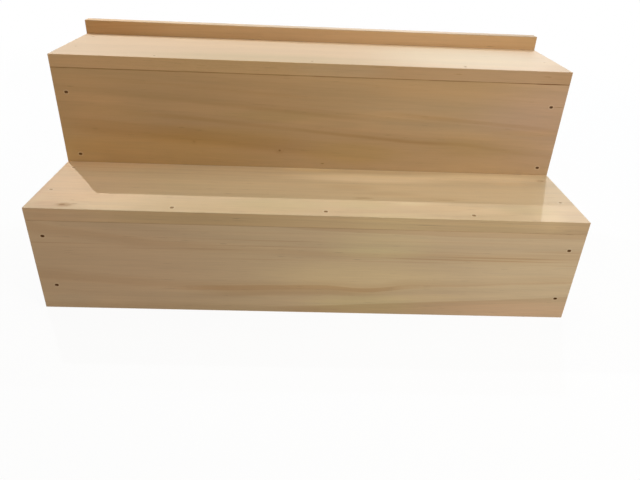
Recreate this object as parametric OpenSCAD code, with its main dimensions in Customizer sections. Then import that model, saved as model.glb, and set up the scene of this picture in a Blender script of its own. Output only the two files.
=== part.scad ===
// Two-step countertop display riser, nailed together from planed pine boards.
// X runs along the boards, the steps face -Y, and the riser stands on Z = 0.
// The origin is the middle of its footprint.

/* [Boards] */
// Length of the fronts, the shelves and the back lip
riser_w = 760; // [500:1:1200]
// Thickness of the planed boards
board_t = 18.5; // [16:0.5:24]
// Height of the lower front board
lower_front_h = 142; // [100:0.5:220]
// Height of the upper front board
upper_front_h = 144.5; // [100:0.5:220]
// Depth of the lower shelf, which carries the upper front on its back edge
lower_shelf_d = 182; // [150:0.5:260]
// Depth of the upper shelf, which carries the lip on its back edge
upper_shelf_d = 182; // [150:0.5:260]
// Height of the back lip above the upper shelf
lip_h = 21.5; // [18:0.5:60]
// Thickness of the back lip
lip_t = 18.5; // [14:0.5:24]
// Radius to which the edges of every board are eased
ease_r = 0.6; // [0.2:0.1:1.5]

/* [Frame behind the steps] */
// Distance from the ends of the boards to the side panels
side_inset = 9.25; // [2:0.25:40]
// Height of the rail that ties the side panels at the back
rail_h = 38; // [30:1:80]

/* [Nails] */
// Diameter of the shank
nail_d = 1.6; // [1.2:0.1:2]
// Length of the nails, head included
nail_len = 38; // [32:1:45]
// Length of the shorter nails in the back lip
lip_nail_len = 32; // [26:1:33]
// Length of the slim head, which lies along the grain
head_l = 3; // [2.4:0.1:4]
// Thickness of the head
head_t = 1.2; // [0.8:0.1:2]
// Length of the point
point_l = 2.5; // [1.5:0.1:4]
// Depth at which the heads are set below the wood
set_depth = 1.5; // [0.5:0.1:3]
// Clearance between a nail and its hole
nail_fit = 0.05; // [0.02:0.01:0.15]

/* [Nail marks] */
// Lower front: height of the low nails above the base
lower_front_low = 37; // [20:0.5:45]
// Lower front: distance of the high nails from its top edge
lower_front_high = 25; // [15:0.5:40]
// Upper front: height of the low nails above the lower shelf
upper_front_low = 12.5; // [8:0.5:30]
// Upper front: distance of the high nails from its top edge
upper_front_high = 34.5; // [25:0.5:50]
// Shelf ends: distance of the front nails from the shelf's front edge
shelf_end_front = 60; // [50:0.5:70]
// Shelf ends: distance of the back nails from the shelf's back edge
shelf_end_back = 43.5; // [30:0.5:60]
// Shelf fronts: distance of the row of nails from the front edge
shelf_row_back = 12.5; // [6:0.5:14]
// Lower shelf's row: distance of its first nail from the left end
lower_row_left = 193; // [100:1:220]
// Lower shelf's row: distance of its last nail from the right end
lower_row_right = 157; // [100:1:220]
// Upper shelf's row: distance of its first nail from the left end
upper_row_left = 148; // [100:1:220]
// Upper shelf's row: distance of its last nail from the right end
upper_row_right = 156; // [100:1:220]
// Rows driven from below: distance of the outer nails from the ends
hidden_row_in = 95; // [60:1:150]
// Rows driven from below: number of nails
hidden_row_count = 4; // [3:1:6]
// Rail ends: distance of the nails from the rail's top and bottom edges
rail_nail_in = 10; // [7:0.5:13]

/* [Hidden] */

$fn = 32;

lower_front_color = [0.80, 0.66, 0.49];
lower_shelf_color = [0.90, 0.79, 0.64];
upper_front_color = [0.76, 0.62, 0.44];
upper_shelf_color = [0.94, 0.85, 0.71];
lip_color = [0.73, 0.57, 0.39];
frame_color = [0.84, 0.72, 0.55];
nail_color = [0.42, 0.40, 0.38];

// Depths and heights of the steps
left = -1;
right = 1;
riser_d = lower_shelf_d - board_t + upper_shelf_d;
front_y = -riser_d / 2;
back_y = riser_d / 2;
upper_y = front_y + lower_shelf_d - board_t;
lower_top_z = lower_front_h + board_t;
upper_under_z = lower_top_z + upper_front_h;
upper_top_z = upper_under_z + board_t;

// Middle of a side panel's edge, which the end nails aim at
side_mid_x = riser_w / 2 - side_inset - board_t / 2;

// How far each hand-driven nail strays from its mark, in the order of the marks below
lower_front_stray = [[4, 0, 2], [0, 0, 1.5], [0.5, 0, -2.5], [0, 0, -1]];
upper_front_stray = [[3, 0, 0.5], [-1.5, 0, -1], [0, 0, 0], [-1.5, 0, 0.5]];
lower_end_stray = [[-3.5, -1, 0], [-1, 0.5, 0], [0.5, 1.5, 0], [1.5, 0, 0]];
upper_end_stray = [[1, -1.5, 0], [-0.5, 1, 0], [-2, 0.5, 0], [0.5, 2, 0]];
lower_row_stray = [[0, 0, 0], [2, 0.5, 0], [0, 0.5, 0]];
upper_row_stray = [[0, 0, 0], [1, -0.5, 0], [0, 0.5, 0]];

function strayed(marks, stray) = [for (i = [0 : len(marks) - 1]) marks[i] + stray[i]];

// Three nails along the front of a shelf: one by each end and one halfway between
function row_marks(from_left, from_right, y, z) = let (
    x_left = -riser_w / 2 + from_left,
    x_right = riser_w / 2 - from_right
) [for (x = [x_left, (x_left + x_right) / 2, x_right]) [x, y, z]];

// Evenly spaced nails along a row that is driven from below
function hidden_marks(y, z) = let (
    span = riser_w - 2 * hidden_row_in
) [for (i = [0 : hidden_row_count - 1]) [span * (i / (hidden_row_count - 1) - 0.5), y, z]];

lower_front_points = strayed([
    for (end = [left, right], z = [lower_front_low, lower_front_h - lower_front_high])
        [end * side_mid_x, front_y, z]
], lower_front_stray);

upper_front_points = strayed([
    for (end = [left, right], z = [lower_top_z + upper_front_low, upper_under_z - upper_front_high])
        [end * side_mid_x, upper_y, z]
], upper_front_stray);

lower_end_points = strayed([
    for (end = [left, right], y = [shelf_end_front, lower_shelf_d - shelf_end_back])
        [end * side_mid_x, front_y + y, lower_top_z]
], lower_end_stray);

upper_end_points = strayed([
    for (end = [left, right], y = [shelf_end_front, upper_shelf_d - shelf_end_back])
        [end * side_mid_x, upper_y + y, upper_top_z]
], upper_end_stray);

lower_row_points = strayed(
    row_marks(lower_row_left, lower_row_right, front_y + shelf_row_back, lower_top_z),
    lower_row_stray
);

upper_row_points = strayed(
    row_marks(upper_row_left, upper_row_right, upper_y + shelf_row_back, upper_top_z),
    upper_row_stray
);

step_points = hidden_marks(upper_y + board_t / 2, lower_front_h);

lip_points = hidden_marks(back_y - lip_t / 2, upper_under_z);

rail_points = [
    for (end = [left, right], z = [rail_nail_in, rail_h - rail_nail_in])
        [end * (riser_w / 2 - side_inset), back_y - board_t / 2, z]
];

// A rectangle with its four corners rounded, from the origin into the first quadrant
module eased_rect(w, h) {
    translate([ease_r, 0]) square([w - 2 * ease_r, h]);
    translate([0, ease_r]) square([w, h - 2 * ease_r]);
    for (x = [ease_r, w - ease_r], y = [ease_r, h - ease_r])
        translate([x, y]) circle(r = ease_r);
}

// A board with all its edges eased, from one corner to the opposite one
module board(low, high) {
    size = high - low;
    translate(low) intersection() {
        linear_extrude(size.z) eased_rect(size.x, size.y);
        translate([0, size.y, 0]) rotate([90, 0, 0]) linear_extrude(size.y) eased_rect(size.x, size.z);
        rotate([90, 0, 90]) linear_extrude(size.x) eased_rect(size.y, size.z);
    }
}

// The slim head as seen from above, with its length along X
module head_outline(grow) {
    end_x = (head_l - nail_d) / 2;
    square([2 * end_x, nail_d + 2 * grow], center = true);
    for (x = [-end_x, end_x])
        translate([x, 0]) circle(d = nail_d + 2 * grow);
}

// A nail driven down into a face at Z = 0, with its head set below that face
module nail(length) {
    translate([0, 0, -set_depth - head_t]) linear_extrude(head_t) head_outline(0);
    translate([0, 0, -set_depth - length + point_l]) cylinder(d = nail_d, h = length - head_t - point_l);
    translate([0, 0, -set_depth - length]) cylinder(d1 = nail_d / 4, d2 = nail_d, h = point_l);
}

// The hole that the nail leaves: a pocket over the head and a bore down to the point
module nail_hole(length) {
    bore_l = set_depth + length + nail_fit;
    pocket_l = set_depth + head_t + nail_fit;
    translate([0, 0, -pocket_l]) linear_extrude(pocket_l + ease_r) head_outline(nail_fit);
    translate([0, 0, -bore_l]) cylinder(d = nail_d + 2 * nail_fit, h = bore_l);
}

// Each of these sets its child at every point of one row, turned to drive into the wood
module drive_back(points) {
    for (p = points) translate(p) rotate([90, 0, 0]) children();
}

module drive_down(points) {
    for (p = points) translate(p) children();
}

module drive_up(points) {
    for (p = points) translate(p) rotate([180, 0, 0]) children();
}

module drive_inwards(points) {
    for (p = points) translate(p) rotate([0, sign(p.x) * 90, 0]) rotate(90) children();
}

module lower_front() {
    color(lower_front_color) difference() {
        board([-riser_w / 2, front_y, 0], [riser_w / 2, front_y + board_t, lower_front_h]);
        drive_back(lower_front_points) nail_hole(nail_len);
        drive_down(lower_row_points) nail_hole(nail_len);
    }
}

module lower_shelf() {
    color(lower_shelf_color) difference() {
        board(
            [-riser_w / 2, front_y, lower_front_h],
            [riser_w / 2, front_y + lower_shelf_d, lower_top_z]
        );
        drive_down(lower_row_points) nail_hole(nail_len);
        drive_down(lower_end_points) nail_hole(nail_len);
        drive_up(step_points) nail_hole(nail_len);
    }
}

module upper_front() {
    color(upper_front_color) difference() {
        board(
            [-riser_w / 2, upper_y, lower_top_z],
            [riser_w / 2, upper_y + board_t, upper_under_z]
        );
        drive_back(upper_front_points) nail_hole(nail_len);
        drive_down(upper_row_points) nail_hole(nail_len);
        drive_up(step_points) nail_hole(nail_len);
    }
}

module upper_shelf() {
    color(upper_shelf_color) difference() {
        board([-riser_w / 2, upper_y, upper_under_z], [riser_w / 2, back_y, upper_top_z]);
        drive_down(upper_row_points) nail_hole(nail_len);
        drive_down(upper_end_points) nail_hole(nail_len);
        drive_up(lip_points) nail_hole(lip_nail_len);
    }
}

module back_lip() {
    color(lip_color) difference() {
        board([-riser_w / 2, back_y - lip_t, upper_top_z], [riser_w / 2, back_y, upper_top_z + lip_h]);
        drive_up(lip_points) nail_hole(lip_nail_len);
    }
}

// A side panel is cut to the steps: a long lower leg and a tall leg at its back
module side_panel(end) {
    outer_x = end * (riser_w / 2 - side_inset);
    low_x = min(outer_x, outer_x - end * board_t);
    high_x = low_x + board_t;
    color(frame_color) difference() {
        union() {
            board([low_x, front_y + board_t, 0], [high_x, back_y, lower_front_h]);
            board([low_x, upper_y + board_t, 0], [high_x, back_y, upper_under_z]);
        }
        drive_back(lower_front_points) nail_hole(nail_len);
        drive_back(upper_front_points) nail_hole(nail_len);
        drive_down(lower_end_points) nail_hole(nail_len);
        drive_down(upper_end_points) nail_hole(nail_len);
        drive_inwards(rail_points) nail_hole(nail_len);
    }
}

module left_side() {
    side_panel(left);
}

module right_side() {
    side_panel(right);
}

module rear_rail() {
    rail_x = riser_w / 2 - side_inset - board_t;
    color(frame_color) difference() {
        board([-rail_x, back_y - board_t, 0], [rail_x, back_y, rail_h]);
        drive_inwards(rail_points) nail_hole(nail_len);
    }
}

module lower_front_nails() {
    color(nail_color) drive_back(lower_front_points) nail(nail_len);
}

module upper_front_nails() {
    color(nail_color) drive_back(upper_front_points) nail(nail_len);
}

module lower_shelf_front_nails() {
    color(nail_color) drive_down(lower_row_points) nail(nail_len);
}

module lower_shelf_end_nails() {
    color(nail_color) drive_down(lower_end_points) nail(nail_len);
}

module upper_shelf_front_nails() {
    color(nail_color) drive_down(upper_row_points) nail(nail_len);
}

module upper_shelf_end_nails() {
    color(nail_color) drive_down(upper_end_points) nail(nail_len);
}

module step_nails() {
    color(nail_color) drive_up(step_points) nail(nail_len);
}

module lip_nails() {
    color(nail_color) drive_up(lip_points) nail(lip_nail_len);
}

module rail_nails() {
    color(nail_color) drive_inwards(rail_points) nail(nail_len);
}

lower_front();
lower_shelf();
upper_front();
upper_shelf();
back_lip();
left_side();
right_side();
rear_rail();
lower_front_nails();
upper_front_nails();
lower_shelf_front_nails();
lower_shelf_end_nails();
upper_shelf_front_nails();
upper_shelf_end_nails();
step_nails();
lip_nails();
rail_nails();
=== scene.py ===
"""Dresses the two-step countertop display riser: pine boards, set nails and a plain studio."""

import math
from functools import partial
from typing import NamedTuple

import bmesh
import bpy
from bpy.props import FloatProperty, FloatVectorProperty, PointerProperty
from mathutils import Matrix, Vector, noise


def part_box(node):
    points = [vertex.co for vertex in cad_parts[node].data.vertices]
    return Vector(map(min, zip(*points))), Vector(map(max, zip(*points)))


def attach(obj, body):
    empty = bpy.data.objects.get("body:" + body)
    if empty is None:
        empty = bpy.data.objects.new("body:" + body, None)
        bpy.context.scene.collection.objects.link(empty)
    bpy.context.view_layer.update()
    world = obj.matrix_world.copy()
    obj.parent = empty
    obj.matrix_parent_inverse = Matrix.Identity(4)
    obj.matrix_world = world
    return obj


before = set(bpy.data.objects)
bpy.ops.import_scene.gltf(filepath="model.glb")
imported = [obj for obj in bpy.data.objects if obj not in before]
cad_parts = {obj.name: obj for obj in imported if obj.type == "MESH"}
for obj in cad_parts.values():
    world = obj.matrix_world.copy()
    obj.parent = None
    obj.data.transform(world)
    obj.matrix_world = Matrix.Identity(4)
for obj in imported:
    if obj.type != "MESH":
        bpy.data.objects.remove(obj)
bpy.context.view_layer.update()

bl_info = {
    "name": "Countertop Display Riser",
    "version": (1, 0, 0),
    "blender": (4, 5, 0),
    "location": "View3D > Sidebar > Riser",
    "description": "Finishes a nailed pine display riser and sets up its studio",
    "category": "Object",
}

BODY = "root"
MM = 0.001
WHITE = (1.0, 1.0, 1.0, 1.0)

# Numbers of the axes in the riser's frame
Y_AXIS = 1
Z_AXIS = 2

# Stave width, in metres, of a board that is sawn in one piece
ONE_PIECE = 10.0

# Reach of a mark that goes right through a board, and of a patch of tone that does
THROUGH = 0.050
ACROSS = 1.0

# Lengths along and across a board over which a band of the log comes and goes
FADE_ALONG = 0.110
FADE_ACROSS = 0.010


class Band(NamedTuple):
    """Years in which the log grew darker wood, as a sleeve around the pith. Lengths are in metres."""

    radius: float
    thickness: float
    edge: float  # how gradually the band begins and ends
    darkness: float
    along: tuple = (-1.0, 1.0)  # the part of the board's length where it is at its darkest
    above: float = -1.0  # the heights in the board between which it shows
    below: float = 1.0


class Cut(NamedTuple):
    """How a board was sawn from its log. X runs along the grain, Y and Z across it, in metres."""

    pith: tuple  # where the middle of the log passes, from the middle of the board
    lean: tuple  # how far the pith wanders across per metre of length
    ring: float  # width of a year's growth
    contrast: float  # how dark the latewood is
    streaks: float  # how dark the fine streaks are
    wave: float  # how far the rings wander along the board
    seed: float
    fan: tuple = (0, 0, 0)  # how much the lean changes per metre across
    bow: tuple = (0, 0, 0)  # how much the pith curves across per square metre of length
    bands: tuple = ()
    streaks_between: tuple = (-1.0, 1.0)  # the heights in the board between which the streaks lie
    stave: float = ONE_PIECE  # width of the staves that the board is glued up from
    mottle: float = 1.0  # how far the broad, soft changes of tone go


CUTS = {
    "lower_front": Cut(
        pith=(0, 0.045, 0.005), lean=(0, 0, 0.003), fan=(0, 0, -0.8), bow=(0, 0, 0.09),
        ring=0.0052, contrast=0.11, streaks=1.5, streaks_between=(0.014, 0.064), wave=0.007, seed=3.0,
        bands=(
            Band(0.0616, 0.0016, 0.0024, 0.3),
            Band(0.06, 0.001, 0.005, 0.28, along=(0.3, 1.0)),
            Band(0.085, 0.0006, 0.0014, 0.45, along=(0.02, 1.0)),
            Band(0.108, 0.044, 0.002, 0.52, along=(0.02, 1.0)),
            Band(0.0638, 0.0028, 0.001, 0.78, along=(-0.12, 0.09), below=-0.01),
            Band(0.0668, 0.003, 0.0045, 0.5, along=(-0.08, 0.04), below=-0.01),
            Band(0.0628, 0.0008, 0.0014, 0.5, along=(0.1, 1.0), below=0.0),
        ),
    ),
    "lower_shelf": Cut(
        pith=(0, -0.06, -0.11), lean=(0, 0.015, 0), bow=(0, 0.02, 0),
        ring=0.0065, contrast=0.24, streaks=0.1, wave=0.014, seed=11.0,
        bands=(
            Band(0.166, 0.0008, 0.0024, 0.34, along=(-0.4, -0.08)),
            Band(0.1735, 0.0014, 0.003, 0.26),
            Band(0.156, 0.0006, 0.002, 0.2, along=(-0.3, -0.16)),
        ),
    ),
    "upper_front": Cut(
        pith=(0, 0.18, -0.1135), lean=(0, 0, -0.07),
        ring=0.0085, contrast=0.2, streaks=0.12, wave=0.012, seed=23.0,
        bands=(
            Band(0.2018, 0.0036, 0.0046, 0.38, along=(-0.32, -0.05)),
            Band(0.2125, 0.0004, 0.0022, 0.34, along=(-0.2, 1.0)),
            Band(0.2125, 0.0003, 0.002, 0.66, along=(-0.18, 0.17)),
            Band(0.2265, 0.0006, 0.0026, 0.26, along=(-0.22, 0.02)),
            Band(0.2342, 0.001, 0.0026, 0.42, along=(0.2, 1.0)),
            Band(0.2405, 0.0006, 0.0026, 0.22, along=(-0.26, -0.08)),
        ),
    ),
    "upper_shelf": Cut(
        pith=(0, 0.04, -0.14), lean=(0, 0.02, 0),
        ring=0.006, contrast=0.12, streaks=0.1, wave=0.014, seed=31.0, mottle=0.45,
    ),
    "back_lip": Cut(
        pith=(0, 0.08, 0.06), lean=(0, 0.01, 0.015),
        ring=0.005, contrast=0.35, streaks=0.3, wave=0.012, seed=41.0,
    ),
    "rear_rail": Cut(
        pith=(0, -0.06, 0.04), lean=(0, 0.01, 0.01),
        ring=0.005, contrast=0.6, streaks=0.6, wave=0.014, seed=53.0,
    ),
    "left_side": Cut(
        pith=(0, 0.07, 0.02), lean=(0, 0.01, 0.04),
        ring=0.0055, contrast=0.55, streaks=0.4, wave=0.018, seed=61.0, stave=0.078,
    ),
    "right_side": Cut(
        pith=(0, 0.06, -0.02), lean=(0, 0.01, 0.035),
        ring=0.0058, contrast=0.55, streaks=0.4, wave=0.018, seed=71.0, stave=0.082,
    ),
}

# Boards whose grain runs from front to back
GRAIN_ALONG_Y = ("left_side", "right_side")

# Colours of the boards' earlywood, from which their settings start. The upper front and the back lip are
# deeper orange partly as painted warm shade, besides each board's own tone
EARLYWOOD = {
    "lower_front": (0.845, 0.700, 0.525),
    "lower_shelf": (0.780, 0.608, 0.415),
    "upper_front": (0.675, 0.472, 0.272),
    "upper_shelf": (0.722, 0.538, 0.370),
    "back_lip": (0.708, 0.460, 0.240),
    "rear_rail": (0.740, 0.565, 0.375),
    "left_side": (0.755, 0.580, 0.390),
    "right_side": (0.745, 0.570, 0.380),
}


class NailRow(NamedTuple):
    """Nails of one node whose heads lie in one board, set in the face that looks this way."""

    node: str
    board: str
    face: tuple
    crush: float = 1.0  # how far the wood around the heads is crushed, as a share of the worst
    darkness: float = 0.93  # how dark the crushed wood and the painted shade of the hole are
    spread: float = 0.0  # how much wider the crushed wood is across the grain


NAIL_ROWS = (
    NailRow("lower_front_nails", "lower_front", (0, -1, 0)),
    NailRow("upper_front_nails", "upper_front", (0, -1, 0), darkness=0.87),
    NailRow("lower_shelf_front_nails", "lower_shelf", (0, 0, 1), crush=0.95, darkness=0.60, spread=0.0012),
    NailRow("lower_shelf_end_nails", "lower_shelf", (0, 0, 1), crush=0.95, darkness=0.30),
    NailRow("step_nails", "lower_shelf", (0, 0, -1), crush=0.70),
    NailRow("upper_shelf_front_nails", "upper_shelf", (0, 0, 1), crush=0.60, darkness=0.30),
    NailRow("upper_shelf_end_nails", "upper_shelf", (0, 0, 1), crush=0.40, darkness=0.10),
    NailRow("lip_nails", "upper_shelf", (0, 0, -1), crush=0.70),
    NailRow("rail_nails", "left_side", (-1, 0, 0), crush=0.80),
    NailRow("rail_nails", "right_side", (1, 0, 0), crush=0.80),
)


class Face(NamedTuple):
    """A face of a board, with the place and the depth of its marks on the axis that it looks along."""

    board: str
    axis: int
    level: float
    depth: float = ACROSS

    def middle(self, mark):
        values = [mark.along, mark.across]
        values.insert(self.axis, self.level)
        return values

    def reach(self, mark):
        values = [mark.reach_along, mark.reach_across]
        values.insert(self.axis, self.depth)
        return values


class Spot(NamedTuple):
    """An oval of dark wood in a face, such as a pin knot, a resin streak or a smear.

    Places run along X and across the face, in the riser's frame. A spot that isn't dark only bends the rings.
    """

    along: float
    across: float
    reach_along: float
    reach_across: float
    darkness: float
    push: float = 0.0  # how far the rings bend round it


SPOTS = {
    Face("lower_front", Y_AXIS, -0.182, THROUGH): (
        Spot(0.09, 0.043, 0.014, 0.006, 0.0, -0.003),
    ),
    Face("upper_front", Y_AXIS, -0.0185, THROUGH): (
        Spot(-0.0495, 0.189, 0.0021, 0.0017, 0.55, 0.003),
        Spot(-0.1815, 0.1997, 0.0012, 0.0016, 0.28, 0.002),
        Spot(0.0178, 0.1693, 0.0026, 0.001, 0.44, 0.002),
        Spot(0.235, 0.2005, 0.02, 0.012, 0.0, -0.0026),
        Spot(0.372, 0.2712, 0.009, 0.00035, 0.66),
    ),
    Face("upper_shelf", Y_AXIS, -0.0093, 0.012): (
        Spot(0.211, 0.3152, 0.0085, 0.0009, 0.3),
        Spot(0.3448, 0.3158, 0.008, 0.0008, 0.34),
        Spot(-0.162, 0.3146, 0.009, 0.0008, 0.14),
        Spot(-0.058, 0.3165, 0.009, 0.0008, 0.14),
    ),
    Face("upper_shelf", Z_AXIS, 0.3235, 0.012): (
        Spot(0.2232, 0.004, 0.002, 0.005, 0.42),
    ),
    Face("upper_shelf", Y_AXIS, -0.0093, 0.0012): (
        Spot(0.23, 0.314, 0.5, 0.02, 0.1),
    ),
    Face("lower_shelf", Z_AXIS, 0.1605, 0.012): (
        Spot(0.3615, -0.0335, 0.0085, 0.0055, 0.22, 0.003),
        Spot(-0.329, -0.16, 0.013, 0.0064, 0.34, 0.003),
        Spot(-0.3185, -0.1562, 0.005, 0.0016, 0.3),
        Spot(-0.3325, -0.16, 0.0064, 0.0032, 0.6),
        Spot(-0.324, -0.1455, 0.003, 0.0016, 0.16),
        # Two long, faint dark streaks just behind the edge of the cast shadow
        Spot(0.075, -0.114, 0.016, 0.003, 0.2, 0.002),
        Spot(0.195, -0.114, 0.02, 0.0028, 0.14, 0.002),
    ),
}


class ToneAndLightPatch(NamedTuple):
    """A broad patch of a face with a tint of its own, placed like a spot: partly the wood's own tone and
    partly painted light and shade, such as pools of light, soft shadows, shadow edges and sheen.
    """

    along: float
    across: float
    reach_along: float
    reach_across: float
    tint: tuple


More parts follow.
